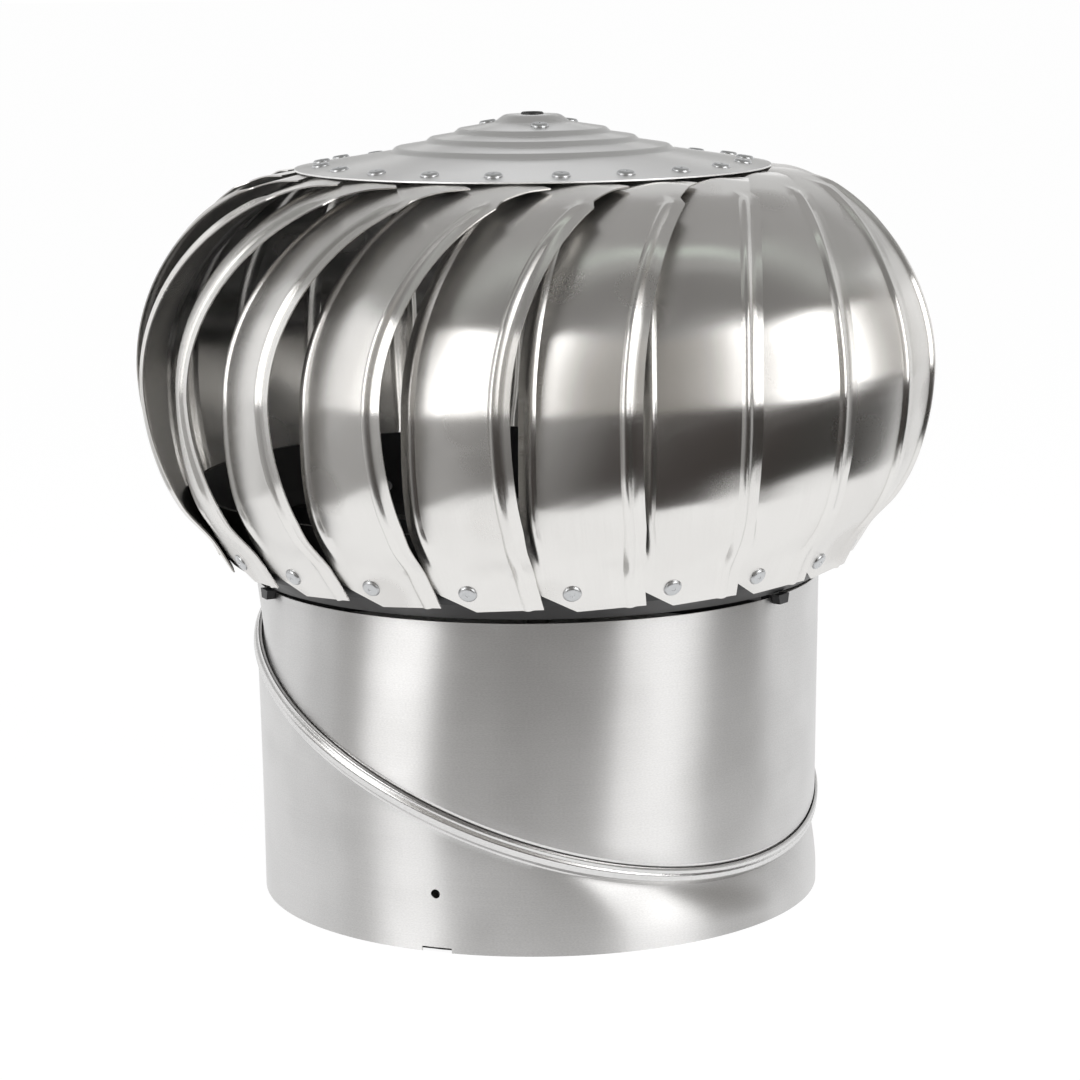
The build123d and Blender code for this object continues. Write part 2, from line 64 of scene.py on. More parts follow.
crown, crown_share, crown_fade, crown_fade_run = 4.2, 0.45, 45.0, 35.0
swell_ease, roll_in_ease = 0.8, 1.3
join_share, wide_share, skew = 0.3, 0.4, 0.12
twist_start, twist_pass, twist_rest = -29.8, -7.0, 3.5
tail_rows, flat_rows, swell_rows, roll_rows, bead_steps, middle_steps = 6, 3, 35, 44, 8, 10
grain_shift = 0.37                 # moves the sheet's grain from one vane to the next

# cap, rivets and plug
cap_r, cap_t, cap_slope, rivet_circle, rivet_height = 124.5, 0.8, 9.0, 111.6, 385.9
steps, step_rise, step_run = (73.0, 55.0, 40.0), 2.0, 4.0
boss_r, boss_h, plug_hole_r = 17.5, 3.6, 4.0
boss_foot, boss_run = 3.5, 8.0     # the boss rises from this far outside it, over this run
tip_circle, tip_az, tip_count, tab_gap = 25.1, -81.4, 3, 1.0
head_r, head_h, head_gap = 4.7, 1.5, 0.05
pitch = 360.0 / count


# ---- mesh helpers -----------------------------------------------------------------------
def mesh_object(name, verts, faces, body, mat, uvs=None, sharp=SHARP):
    """New smooth-shaded piece from vertices in millimetres, riding a body, faces outwards."""
    mesh = bpy.data.meshes.new(name)
    mesh.from_pydata([Vector(v) * MM for v in verts], [], faces)
    inside = bmesh.new()
    inside.from_mesh(mesh)
    if inside.calc_volume(signed=True) < 0:
        mesh.flip_normals()
    inside.free()
    if uvs:
        layer = mesh.uv_layers.new(name="UVMap")
        for loop in mesh.loops:
            layer.data[loop.index].uv = uvs[loop.vertex_index]
    mesh.shade_smooth()
    mesh.set_sharp_from_angle(angle=radians(sharp))
    mesh.materials.append(mat)
    piece = bpy.data.objects.new(name, mesh)
    bpy.context.scene.collection.objects.link(piece)
    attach(piece, body)
    return piece


def grid_faces(rows, cols, wrap_cols=False, wrap_rows=False, start=0):
    """Quads of a grid of vertices stored row by row."""
    faces = []
    for i in range(rows if wrap_rows else rows - 1):
        for j in range(cols if wrap_cols else cols - 1):
            a, b = start + i * cols, start + (i + 1) % rows * cols
            faces.append((a + j, a + (j + 1) % cols, b + (j + 1) % cols, b + j))
    return faces


def polar(radius, azimuth, height=0.0):
    """Point from a radius, an azimuth in degrees and a height."""
    return Vector((radius * cos(radians(azimuth)), radius * sin(radians(azimuth)), height))


def smooth(x):
    """Share from 0 to 1, held beyond both ends and level at them."""
    x = max(0.0, min(1.0, x))
    return x * x * (3 - 2 * x)


def lathe(profile, segments, closed=True):
    """Vertices, faces and UVs of a profile of (radius, height) turned about Z."""
    verts, uvs = [], []
    for k in range(segments):
        a = 360.0 / segments * k
        run = 0.0
        for i, (r, h) in enumerate(profile):
            if i:
                run += (Vector((r, h)) - Vector(profile[i - 1])).length
            verts.append(polar(r, a, h))
            uvs.append((a / 360, run * MM))
    return verts, grid_faces(segments, len(profile), closed, True), uvs


def arc(centre, radius, start, end, n):
    """Points of an arc in a profile, by angles in degrees."""
    return [(centre[0] + radius * cos(radians(start + (end - start) * k / n)),
             centre[1] + radius * sin(radians(start + (end - start) * k / n)))
            for k in range(n + 1)]


# ---- materials --------------------------------------------------------------------------
def new_material(name):
    mat = bpy.data.materials.new(name)
    mat.use_nodes = True
    tree = mat.node_tree
    return mat, tree, tree.nodes["Principled BSDF"]


def noise(tree, coords, scale, stretch, detail=3.0, rough=0.5):
    """Noise texture whose features are stretched by the given factors."""
    mapping = tree.nodes.new("ShaderNodeMapping")
    mapping.inputs["Scale"].default_value = stretch
    tree.links.new(coords, mapping.inputs["Vector"])
    tex = tree.nodes.new("ShaderNodeTexNoise")
    tex.inputs["Scale"].default_value = scale
    tex.inputs["Detail"].default_value = detail
    tex.inputs["Roughness"].default_value = rough
    tree.links.new(mapping.outputs["Vector"], tex.inputs["Vector"])
    return tex.outputs["Fac"]


def remap(tree, value, low, high, to_low, to_high):
    """Value carried from one range to another, held at its ends."""
    node = tree.nodes.new("ShaderNodeMapRange")
    for key, number in (("From Min", low), ("From Max", high),
                        ("To Min", to_low), ("To Max", to_high)):
        node.inputs[key].default_value = number
    tree.links.new(value, node.inputs["Value"])
    return node.outputs["Result"]


def math_node(tree, operation, a, b):
    node = tree.nodes.new("ShaderNodeMath")
    node.operation = operation
    for socket, value in zip(node.inputs, (a, b)):
        if isinstance(value, (int, float)):
            socket.default_value = value
        else:
            tree.links.new(value, socket)
    return node.outputs[0]


def mix_colour(tree, factor, first, second):
    """Colour that goes from the first to the second with the factor."""
    node = tree.nodes.new("ShaderNodeMix")
    node.data_type = "RGBA"
    node.inputs["A"].default_value = (*first, 1)
    node.inputs["B"].default_value = (*second, 1)
    tree.links.new(factor, node.inputs["Factor"])
    return node.outputs["Result"]


def bump(tree, bsdf, height, strength, distance):
    node = tree.nodes.new("ShaderNodeBump")
    node.inputs["Strength"].default_value = strength
    node.inputs["Distance"].default_value = distance
    tree.links.new(height, node.inputs["Height"])
    tree.links.new(node.outputs["Normal"], bsdf.inputs["Normal"])


def seen_rays(tree):
    """1 for rays that the camera, a reflection or a refraction sends out, 0 for others."""
    path = tree.nodes.new("ShaderNodeLightPath")
    seen = math_node(tree, "ADD", path.outputs["Is Camera Ray"], path.outputs["Is Glossy Ray"])
    return math_node(tree, "ADD", seen, path.outputs["Is Transmission Ray"])


def marks(tree, coords, scale, size, chance):
    """Mask of soft round handling marks, scattered over a surface."""
    cells = tree.nodes.new("ShaderNodeTexVoronoi")
    cells.inputs["Scale"].default_value = scale
    cells.inputs["Randomness"].default_value = 0.9
    tree.links.new(coords, cells.inputs["Vector"])
    spot = remap(tree, cells.outputs["Distance"], size, size * 0.6, 0.0, 1.0)
    split = tree.nodes.new("ShaderNodeSeparateColor")
    tree.links.new(cells.outputs["Color"], split.inputs["Color"])
    chosen = remap(tree, split.outputs["Red"], chance, chance - 0.1, 0.0, 1.0)
    return math_node(tree, "MULTIPLY", spot, chosen)


mark_scale = 26.0


def sheet(name, light, dark, grain, speck, rough, across, marked=1.0, relief=0.09):
    """Rolled aluminium sheet: grain along one UV direction, sparkle and handling marks."""
    mat, tree, bsdf = new_material(name)
    uv = tree.nodes.new("ShaderNodeUVMap")
    uv.uv_map = "UVMap"
    space = tree.nodes.new("ShaderNodeTexCoord").outputs["Object"]

    def scaled(value, factor):
        return math_node(tree, "MULTIPLY", value, factor)

    streaks = noise(tree, uv.outputs["UV"], 1.0, grain, 2.0, 0.5)
    specks = noise(tree, uv.outputs["UV"], 1.0, speck, 2.0, 0.6)
    cloud = noise(tree, space, mark_scale, (1, 1, 1), 2.0, 0.45)
    cloud = remap(tree, cloud, 0.42, 0.62, 0.0, 1.0)
    spots = scaled(marks(tree, space, mark_scale, 0.42, 0.45), marked)
    worn = math_node(tree, "ADD", scaled(cloud, 0.25), spots)
    sparkle = scaled(remap(tree, specks, 0.35, 0.65, 0.0, 1.0), 6 * relief)
    shade = math_node(tree, "ADD", scaled(streaks, 0.4), sparkle)
    shade = math_node(tree, "ADD", shade, scaled(worn, 0.8))
    base = remap(tree, specks, 0.3, 0.7, rough - 0.5 * relief, rough + 0.5 * relief)
    roughness = math_node(tree, "ADD", base, scaled(worn, 0.07))
    bsdf.inputs["Metallic"].default_value = 1.0
    tree.links.new(mix_colour(tree, shade, light, dark), bsdf.inputs["Base Color"])
    tree.links.new(roughness, bsdf.inputs["Roughness"])
    bsdf.inputs["Anisotropic"].default_value = 0.95
    bsdf.inputs["Anisotropic Rotation"].default_value = across
    tangent = tree.nodes.new("ShaderNodeTangent")
    tangent.direction_type = "UV_MAP"
    tangent.uv_map = "UVMap"
    tree.links.new(tangent.outputs["Tangent"], bsdf.inputs["Tangent"])
    height = math_node(tree, "ADD", specks, scaled(streaks, 0.5))
    bump(tree, bsdf, height, relief, 0.0002)
    return mat


# name, light and dark colour, grain and speck along (u, v), roughness, grain's turn,
# strength of the handling marks, relief
vane_sheet = sheet("vane_aluminium", (0.83, 0.82, 0.80), (0.74, 0.725, 0.705),
                   (1300, 25, 1), (2200, 700, 1), 0.23, 0.0, 0.8, 0.03)
throat_sheet = sheet("throat_aluminium", (0.73, 0.725, 0.72), (0.62, 0.615, 0.61),
                     (16, 900, 1), (750, 1900, 1), 0.40, 0.25, 0.15)
seam_sheet = sheet("seam_aluminium", (0.78, 0.775, 0.77), (0.68, 0.675, 0.67),
                   (30, 2200, 1), (500, 2200, 1), 0.2, 0.0, 0.2)
cap_sheet = sheet("cap_aluminium", (0.87, 0.87, 0.865), (0.81, 0.81, 0.805),
                  (60, 1500, 1), (900, 1500, 1), 0.33, 0.0, 0.3)


def turned(name, colour, rough, scale):
    """Plain metal with a fine turned grain."""
    mat, tree, bsdf = new_material(name)
    coords = tree.nodes.new("ShaderNodeTexCoord").outputs["Object"]
    grain = noise(tree, coords, scale, (1, 1, 3), 3.0)
    dark = tuple(c * 0.86 for c in colour)
    tree.links.new(mix_colour(tree, grain, colour, dark), bsdf.inputs["Base Color"])
    bsdf.inputs["Metallic"].default_value = 1.0
    roughness = remap(tree, grain, 0.3, 0.7, rough - 0.05, rough + 0.08)
    tree.links.new(roughness, bsdf.inputs["Roughness"])
    bump(tree, bsdf, grain, 0.1, 0.0001)
    return mat


def moulding(name, colour, rough, grain_size):
    """Moulded plastic with a fine texture and slight handling wear."""
    mat, tree, bsdf = new_material(name)
    coords = tree.nodes.new("ShaderNodeTexCoord").outputs["Object"]
    fine = noise(tree, coords, grain_size, (1, 1, 1), 4.0, 0.6)
    wear = noise(tree, coords, 40.0, (1, 1, 1), 3.0)
    light = tuple(min(1, c * 1.5 + 0.006) for c in colour)
    tree.links.new(mix_colour(tree, wear, colour, light), bsdf.inputs["Base Color"])
    roughness = remap(tree, wear, 0.3, 0.7, rough - 0.06, rough + 0.1)
    tree.links.new(roughness, bsdf.inputs["Roughness"])
    bump(tree, bsdf, fine, 0.15, 0.0002)
    return mat


rivet_metal = turned("rivet_aluminium", (0.64, 0.65, 0.66), 0.36, 900)
steel = turned("plain_steel", (0.52, 0.51, 0.50), 0.32, 700)
black = moulding("black_moulding", (0.012, 0.012, 0.013), 0.38, 1400)
plug_plastic = moulding("plug_plastic", (0.02, 0.02, 0.02), 0.4, 1400)
acetal = moulding("bush_acetal", (0.78, 0.77, 0.74), 0.45, 900)

for node, mat in (("axle_carrier", black), ("base_bowl", black), ("hub_bush", acetal),
                  ("axle", steel), ("axle_washer", steel), ("axle_nut", steel),
                  ("bearing_circlip", steel), ("bearing_inner_ring", steel),
                  ("bearing_outer_ring", steel), ("bearing_housing", steel)):
    mesh = nodes[node].data
    mesh.materials.clear()
    mesh.materials.append(mat)


# ---- throat: two tubes joined by the oblique rolled seam --------------------------------
lean, low_side = radians(seam_tilt), radians(seam_az)
SEAM_X = Vector((cos(low_side) * cos(lean), sin(low_side) * cos(lean), -sin(lean)))
SEAM_Z = Vector((cos(low_side) * sin(lean), sin(low_side) * sin(lean), cos(lean)))
SEAM_Y = SEAM_Z.cross(SEAM_X)
SEAM_O = Vector((0, 0, seam_h))


def seam_point(a, radius, offset):
    """Point at an angle in radians round the seam's own axis, off its plane."""
    return SEAM_O + (SEAM_X * cos(a) + SEAM_Y * sin(a)) * radius + SEAM_Z * offset


def level_point(a, radius, height):
    """Point of a level circle at the same angle."""
    return polar(radius, seam_az + a * 180 / pi, height)


def throat_mesh(name, rings, body, roll_start, roll_end):
    """Closed sheet tube from rings, each a function of the angle round the seam.

    The rings of the roll, from its start to its end, get the seam's own sheet.
    """
    verts, uvs = [], []
    for k in range(around):
        a = 2 * pi * k / around
        for ring in rings:
            point = ring(a)
            verts.append(point)
            uvs.append((a * throat_r * MM, point.z * MM))
    faces = grid_faces(around, len(rings), True, True)
    tube = mesh_object(name, verts, faces, body, throat_sheet, uvs)
    tube.data.materials.append(seam_sheet)
    for face in tube.data.polygons:
        if roll_start <= face.index % len(rings) < roll_end:
            face.material_index = 1
    return tube


def level_ring(radius, height):
    return lambda a: level_point(a, radius, height)


def seam_ring(radius, offset):
    return lambda a: seam_point(a, radius, offset)


def blended(radius, height, ring_r, offset, share, ease=1.0):
    """Ring of the wall between a level end and the seam, drawn to the seam late if eased."""
    def point(a):
        start, end = level_point(a, radius, height), seam_point(a, ring_r, offset)
        place = start.lerp(end, share ** ease)
        place.z = start.z + (end.z - start.z) * share
        return place
    return point


def wall_rings(radius, height, thin, offset, ease=1.0):
    """Rings of a throat's wall from its level end to the seam, moved in by thin."""
    return [blended(radius - thin, height, tube_r - thin, offset, share, ease) for share in shares]


wall_parts = 16
shares = [k / wall_parts for k in range(1, wall_parts)]

# lower throat: outside up from the rim, over the roll, and back down inside; the roll is
# written as (radius, offset) from the seam's axis and plane
roll = [(155.2, -6.5), (155.5, -5.3), (156.5, -4.5), (157.8, -3.4), (158.6, -2.0),
        (158.9, -0.5), (158.8, 0.7), (158.4, 1.7), (157.7, 2.3), (157.6, 2.6), (158.0, 2.9),
        (158.1, 3.5), (157.8, 4.3), (157.0, 4.8)]
lower = [level_ring(spigot_r, h) for h in (0, spigot_h / 2, spigot_h)]
lower += wall_rings(spigot_r, spigot_h, 0, -seam_reach, lower_ease)
roll_first = len(lower)
lower += [seam_ring(r, s) for r, s in roll]
lower += [seam_ring(r - wall, s) for r, s in reversed(roll)]
lower += reversed(wall_rings(spigot_r, spigot_h, wall, -seam_reach, lower_ease))
lower += [level_ring(spigot_r - wall, h) for h in (spigot_h, 0)]
lower_throat = throat_mesh("lower_throat_sheet", lower, "lower",
                           roll_first, roll_first + len(roll))
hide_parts("lower_throat")

# upper throat: outside down from its rim, round the caught curl, and back up inside
curl = [(155.2, 6.5), (155.3, 4.0), (155.6, 2.4), (156.6, 1.2), (157.5, 0.6), (157.5, -0.8),
        (156.9, -1.8), (155.6, -2.6)]
rim_heights = (throat_h, throat_h - 2)
upper = [level_ring(throat_r, h) for h in rim_heights]
upper += wall_rings(throat_r, throat_h, 0, seam_reach)
curl_first = len(upper)
upper += [seam_ring(r, s) for r, s in curl]
upper += [seam_ring(r - wall, s + (curl_thin if s < 0 else -curl_thin))
          for r, s in reversed(curl[1:])]
upper += [seam_ring(tube_r - wall, seam_reach)]
upper += reversed(wall_rings(throat_r, throat_h, wall, seam_reach))
upper += [level_ring(throat_r - wall, h) for h in reversed(rim_heights)]
upper_throat = throat_mesh("upper_throat_sheet", upper, "upper",
                           curl_first, curl_first + len(curl))
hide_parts("upper_throat")


def cut(piece, cutters):
    """Boolean-cuts a piece and keeps the result as its mesh."""
    for cutter in cutters:
        modifier = piece.modifiers.new("cut", "BOOLEAN")
        modifier.operation = "DIFFERENCE"
        modifier.object = cutter
        modifier.solver = "EXACT"
    bpy.context.view_layer.update()
    graph = bpy.context.evaluated_depsgraph_get()
    mesh = bpy.data.meshes.new_from_object(piece.evaluated_get(graph))
    piece.modifiers.clear()
    piece.data = mesh
    mesh.set_sharp_from_angle(angle=radians(SHARP))
    for cutter in cutters:
        bpy.data.objects.remove(cutter)


def cutter(name, profile, azimuth, height, depth):
    """Prism along the radial direction, from an outline of (sideways, up) points."""
    out, side, n = polar(1, azimuth), polar(1, azimuth + 90), len(profile)
    verts = [out * r + side * u + Vector((0, 0, height + v)) for r in depth for u, v in profile]
    faces = [tuple(range(n - 1, -1, -1)), tuple(range(n, 2 * n))]
    faces += [(j, (j + 1) % n, n + (j + 1) % n, n + j) for j in range(n)]
    mesh = bpy.data.meshes.new(name)
    mesh.from_pydata([v * MM for v in verts], [], faces)
    piece = bpy.data.objects.new(name, mesh)
    bpy.context.scene.collection.objects.link(piece)
    return piece


notch_outline = [(-rim_notch_half, -1), (rim_notch_half, -1), (rim_notch_half, rim_notch_h),
                 (-rim_notch_half, rim_notch_h)]
hole_outline = arc((0, 0), screw_r, 0, 345, 23)
cutters = []
for k in range(screw_count):
    azimuth = screw_az + 360 / screw_count * k
    cutters.append(cutter("hole", hole_outline, azimuth, screw_h, (135, 160)))
    cutters.append(cutter("notch", notch_outline, azimuth, 0, (140, 155)))
cut(lower_throat, cutters)


# ---- vanes ------------------------------------------------------------------------------
SEAT_DIR = Vector((sin(radians(seat_slope)), 0, cos(radians(seat_slope))))
SEAT_NORMAL = Vector((cos(radians(seat_slope)), 0, -sin(radians(seat_slope))))
TAIL_RIVET = Vector((seat_radius, 0, seat_height)) + SEAT_NORMAL * (vane_t / 2)
SIDE = Vector((0, 1, 0))
BASE = TAIL_RIVET + SIDE * base_shift
EQUATOR = Vector((equator_r, equator_shift, equator_h))
ACROSS = Vector((-sin(radians(vane_twist)), cos(radians(vane_twist)), 0))
FALL = tan(radians(cap_slope)) * cos(radians(90 + vane_twist - vane_turn))
flat_share = seat_above / (equator_h - TAIL_RIVET.z)
flat_length = seat_above / cos(radians(seat_slope))
TAB_H = rivet_height - cap_t - tab_gap - vane_t / 2
TOP = (polar(rivet_circle, vane_turn, TAB_H) + ACROSS * cap_shift
       - Vector((0, 0, FALL * cap_shift)))


def hermite(t):
    """Weights of the start, its slope, the end and its slope in a Hermite curve."""
    end = 3 * t ** 2 - 2 * t ** 3
    return 1 - end, t ** 3 - 2 * t ** 2 + t, end, t ** 3 - t ** 2


def facing(share):
    """Twist in degrees from the tail (0) over the equator (1) to the cap (2)."""
    if share <= 1:
        start, start_slope, end, end_slope = hermite(share)
        return start_slope * twist_start + end * vane_twist + end_slope * twist_pass
    return vane_twist - twist_rest * (2 * smooth(share / 2) - 1)


def direction(twist):
    """Level direction across a strip that is twisted by so many degrees."""
    return Vector((-sin(radians(twist)), cos(radians(twist)), 0))


def reach(share):
    """Strip's centre by its share of the height between the rivet and the equator."""
    swell = sin(radians(90 * share ** swell_ease))
    shift = equator_shift + (base_shift - equator_shift) * (1 - share) ** 3
    return Vector((BASE.x + (EQUATOR.x - BASE.x) * swell, shift,
                   BASE.z + (EQUATOR.z - BASE.z) * share))


def slope(curve, share, reach_by=0.01):
    """Rate of change of a curve of the share."""
    return (curve(share + reach_by) - curve(share - reach_by)) / (2 * reach_by)


def tail_centre(v):
    """Strip's centre on the seat, at a distance along it from the rivet row."""
    return BASE + SEAT_DIR * v - SIDE * (skew * (v + tail))


def lower_station(share):
    """Centre, direction across, half width and arch between the flat tail and the equator."""
    span = join_share - flat_share
    t = (share - flat_share) / span
    if t < 1:
        start, start_slope, end, end_slope = hermite(t)
        rise = span * (EQUATOR.z - BASE.z) / SEAT_DIR.z
        centre = (tail_centre(flat_length) * start
                  + (SEAT_DIR - SIDE * skew) * rise * start_slope
                  + reach(join_share) * end + slope(reach, join_share) * span * end_slope)
        twist = facing(join_share) * end + slope(facing, join_share) * span * end_slope
    else:
        centre, twist = reach(share), facing(share)
    wide = min(1, (share - flat_share) / (wide_share - flat_share))
    half = (base_w + (vane_w - base_w) * wide) / 2
    return centre, direction(twist), half, crown * smooth((share - flat_share) / crown_share)


def upper_station(angle):
    """The same from the equator (0 degrees) to the cap (90 degrees)."""
    away = 1 - cos(radians(angle)) ** roll_in_ease
    centre = EQUATOR + (TOP - EQUATOR) * away
    centre.z = EQUATOR.z + (TOP.z - EQUATOR.z) * sin(radians(angle))
    half = vane_w / 2 - notch * smooth((angle - notch_angle) / notch_run)
    across = direction(facing(1 + angle / 90)) - Vector((0, 0, FALL * away ** 2))
    arch = crown * (1 - smooth((angle - crown_fade) / crown_fade_run))
    return centre, across.normalized(), half, arch


def tail_edge(u):
    """Distance along the seat from the rivet row to the tail's cut edge, at a sideways place."""
    corner_v = tail_corner_rise - tail
    if u < tail_corner:
        share = (u - tail_left) / (tail_corner - tail_left)
        return tail_left_v + (corner_v - tail_left_v) * share
    share = (u - tail_corner) / (tail_right - tail_corner)
    return corner_v + (tail_rise - tail_corner_rise) * share


def vane_rows():
    """Rows of the strip: kind, place, across, half width, outer and inner bead, and arch.

    The place is a share in a tail row, a distance from the rivet in a flat row, and the
    centre's point in a span row. The beads rise from the tail on and end before the cap.
    """
    rows = []
    for k in range(tail_rows + 1):
        share = k / tail_rows
        rows.append(("tail", share, SIDE, base_w / 2, 0.4 + 0.2 * share, 0.0, 0.0))
    for k in range(1, flat_rows + 1):
        share = k / flat_rows
        rows.append(("flat", flat_length * share, SIDE, base_w / 2, 0.6 + 0.1 * share, 0.0, 0.0))
    for k in range(1, swell_rows + 1):
        share = flat_share + (1 - flat_share) * k / swell_rows
        centre, across, half, arch = lower_station(share)
        outer = min(1, 0.7 + 0.3 * (share - flat_share) / 0.15)
        inner = smooth((share - 0.1) / 0.25)
        rows.append(("span", centre, across, half, outer, inner, arch))
    for k in range(1, roll_rows + 1):
        angle = 90 * k / roll_rows
        centre, across, half, arch = upper_station(angle)
        strength = 1 - smooth((angle - 62) / 9)
        rows.append(("span", centre, across, half, strength, strength, arch))
    along = (rows[-1][1] - rows[-2][1]).normalized()
    for k in range(2):
        kind, centre, across, half = rows[-1][:4]
        rows.append((kind, centre + along * head * 0.5, across, half, 0.0, 0.0, 0.0))
    return rows


def bead(start, strength):
    """Half-round bead across the strip, from the place where it starts."""
    return [(start + bead_w * k / bead_steps,
             bead_h * strength * sin(pi * k / bead_steps) ** bead_round)
            for k in range(bead_steps + 1)]


def across_points(half, outer, inner):
    """Places across the strip and how far each stands out, with two half-round beads."""
    start = -half + flange_in + bead_w
    stop = half - flange_out - bead_w
    points = [(-half, 0.0), (-half + flange_in * 0.5, 0.0)]
    points += bead(-half + flange_in, inner)
    points += [(start + (stop - start) * k / middle_steps, 0.0) for k in range(1, middle_steps)]
    points += bead(stop, outer)
    return points + [(half - flange_out * 0.5, 0.0), (half, 0.0)]


def vane_surface():
    """Lines across the strip's middle surface, each with its places and distance along."""
    surface, run, before = [], 0.0, None
    for kind, place, across, half, outer, inner, arch in vane_rows():
        points = [(u, w + arch * (1 - (u / half) ** 2))
                  for u, w in across_points(half, outer, inner)]
        if kind == "span":
            centre = place
            out = across.cross((centre - before).normalized()).normalized()
            line = [centre + across * u + out * w for u, w in points]
        else:
            centre = tail_centre(-tail * (1 - place) if kind == "tail" else place)
            line = []
            for u, w in points:
                v = tail_edge(u + base_shift) * (1 - place) if kind == "tail" else place
                line.append(tail_centre(v) + SIDE * u + SEAT_NORMAL * w)
        if before is not None:
            run += (centre - before).length
        before = centre
        surface.append((line, [u for u, w in points], run))
    return surface


def vane_mesh_data():
    """Closed strip of sheet: the middle surface moved half the thickness each way."""
    surface = vane_surface()
    rows, cols = len(surface), len(surface[0][0])
    middle = [line for line, places, run in surface]
    front, back, uvs = [], [], []
    for i, (line, places, run) in enumerate(surface):
        for j, point in enumerate(line):
            along = middle[min(i + 1, rows - 1)][j] - middle[max(i - 1, 0)][j]
            side = line[min(j + 1, cols - 1)] - line[max(j - 1, 0)]
            normal = side.cross(along).normalized()
            front.append(point + normal * (vane_t / 2))
            back.append(point - normal * (vane_t / 2))
            uvs.append((places[j] * MM, run * MM))
    n = rows * cols
    faces = grid_faces(rows, cols)
    faces += [tuple(n + v for v in reversed(face)) for face in faces]
    edge = list(range(cols)) + [i * cols + cols - 1 for i in range(1, rows)]
    edge += [(rows - 1) * cols + j for j in range(cols - 2, -1, -1)]
    edge += [i * cols for i in range(rows - 2, 0, -1)]
    for k, a in enumerate(edge):
        b = edge[(k + 1) % len(edge)]
        faces.append((b, a, n + a, n + b))
    return front + back, faces, uvs + uvs


def vane_turned(k):
    """Rotation of the strip, which is drawn at azimuth 0, to vane k's place."""
    return Matrix.Rotation(radians(first_az + pitch * k), 3, "Z")


strip_verts, strip_faces, strip_uvs = vane_mesh_data()
for k in range(count):
    turn, shift = vane_turned(k), grain_shift * k
    vane = mesh_object("vane_strip_%02d" % (k + 1), [turn @ v for v in strip_verts], strip_faces,
                       "rotor", vane_sheet, [(u + shift, v) for u, v in strip_uvs])
    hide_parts("vane_%02d" % (k + 1))


# ---- cap --------------------------------------------------------------------------------
def cap_height(radius):
    """Height of the cone's top face with its three raised steps."""
    height = rivet_height + (rivet_circle - radius) * tan(radians(cap_slope))
    for step in steps:
        height += step_rise * smooth((step + step_run / 2 - radius) / step_run)
    return height


BOSS_TOP = cap_height(boss_r) + boss_h


def boss_height(radius):
    """Cap's top face, with the central boss blended in."""
    blend = smooth((boss_r + boss_foot - radius) / boss_run)
    return cap_height(radius) * (1 - blend) + BOSS_TOP * blend


def inwards(start, step, n):
    """Radii from the start towards the middle."""
    return [start - k * step for k in range(n)]


outer_step, middle_step, inner_step = (inwards(step + 3, 0.6, 11) for step in steps)
radii = [cap_r, cap_r - 0.25, cap_r - 1.5] + inwards(cap_r - 3, 4, 11)
radii += outer_step + [66.0, 61.0] + middle_step + [48.0] + inner_step + [33.0, 28.0, 23.0]
radii += inwards(21.5, 0.75, 13) + [8.0, plug_hole_r + 0.3, plug_hole_r]
top = [(r, boss_height(r)) for r in radii]
under = [(r, h - cap_t) for r, h in reversed(top)]
verts, faces, uvs = lathe(top + under, 240)
cap = mesh_object("cap_cone", verts, faces, "rotor", cap_sheet, uvs)
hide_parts("cap")


# ---- rivets and plug --------------------------------------------------------------------
def heads(name, places, node, tail_length):
    """One piece with a blind rivet at each (seat point, outward normal)."""
    r, h = head_r, head_h
    profile = [(0.0001, h - 0.25), (0.9, h - 0.25), (1.05, h - 0.02), (r * 0.62, h),
               (r * 0.76, h * 0.96), (r * 0.86, h * 0.8), (r * 0.95, h * 0.48), (r, h * 0.15),
               (r, 0.0), (2.0, 0.0), (2.0, -tail_length), (2.9, -tail_length - 0.6),
               (2.9, -tail_length - 1.8), (0.0001, -tail_length - 2.0)]
    body_verts, body_faces, _ = lathe(profile, 28, False)
    all_verts, all_faces = [], []
    for place, normal in places:
        spin = normal.to_track_quat("Z", "Y").to_matrix()
        offset = len(all_verts)
        all_verts += [place + spin @ v for v in body_verts]
        all_faces += [tuple(offset + i for i in face) for face in body_faces]
    piece = mesh_object(name, all_verts, all_faces, "rotor", rivet_metal, sharp=50)
    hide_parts(node)


def cone_place(radius, azimuth):
    """Seat of a rivet on the cap's cone, and its outward normal."""
    normal = polar(sin(radians(cap_slope)), azimuth, cos(radians(cap_slope)))
    return polar(radius, azimuth, cap_height(radius)) + normal * head_gap, normal


def base_place(k):
    """Seat of the rivet in a vane's tail, and its outward normal."""
    turn = vane_turned(k)
    return turn @ (TAIL_RIVET + SEAT_NORMAL * (vane_t / 2)), turn @ SEAT_NORMAL


heads("cap_rivet_heads", [cone_place(rivet_circle, first_az + vane_turn + pitch * k)
                          for k in range(count)], "cap_rivets", 2.8)
heads("tip_rivet_heads", [cone_place(tip_circle, tip_az + 360 / tip_count * k)
                          for k in range(tip_count)], "tip_rivets", 2.7)
heads("base_rivet_heads", [base_place(k) for k in range(count)], "base_rivets", 3.8)

# the plug's dimple, rim and shank, as (radius, height above the boss)
plug = [(0.0001, 0.6), (3.2, 0.6), (3.6, 1.1), (5.2, 1.2), (5.9, 0.7), (6.0, 0.0), (3.9, 0.0),
        (3.9, -2.4), (0.0001, -2.4)]
verts, faces, _ = lathe([(r, BOSS_TOP + h) for r, h in plug], 36, False)
plug_piece = mesh_object("cap_plug_moulding", verts, faces, "rotor", plug_plastic)
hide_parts("cap_plug")


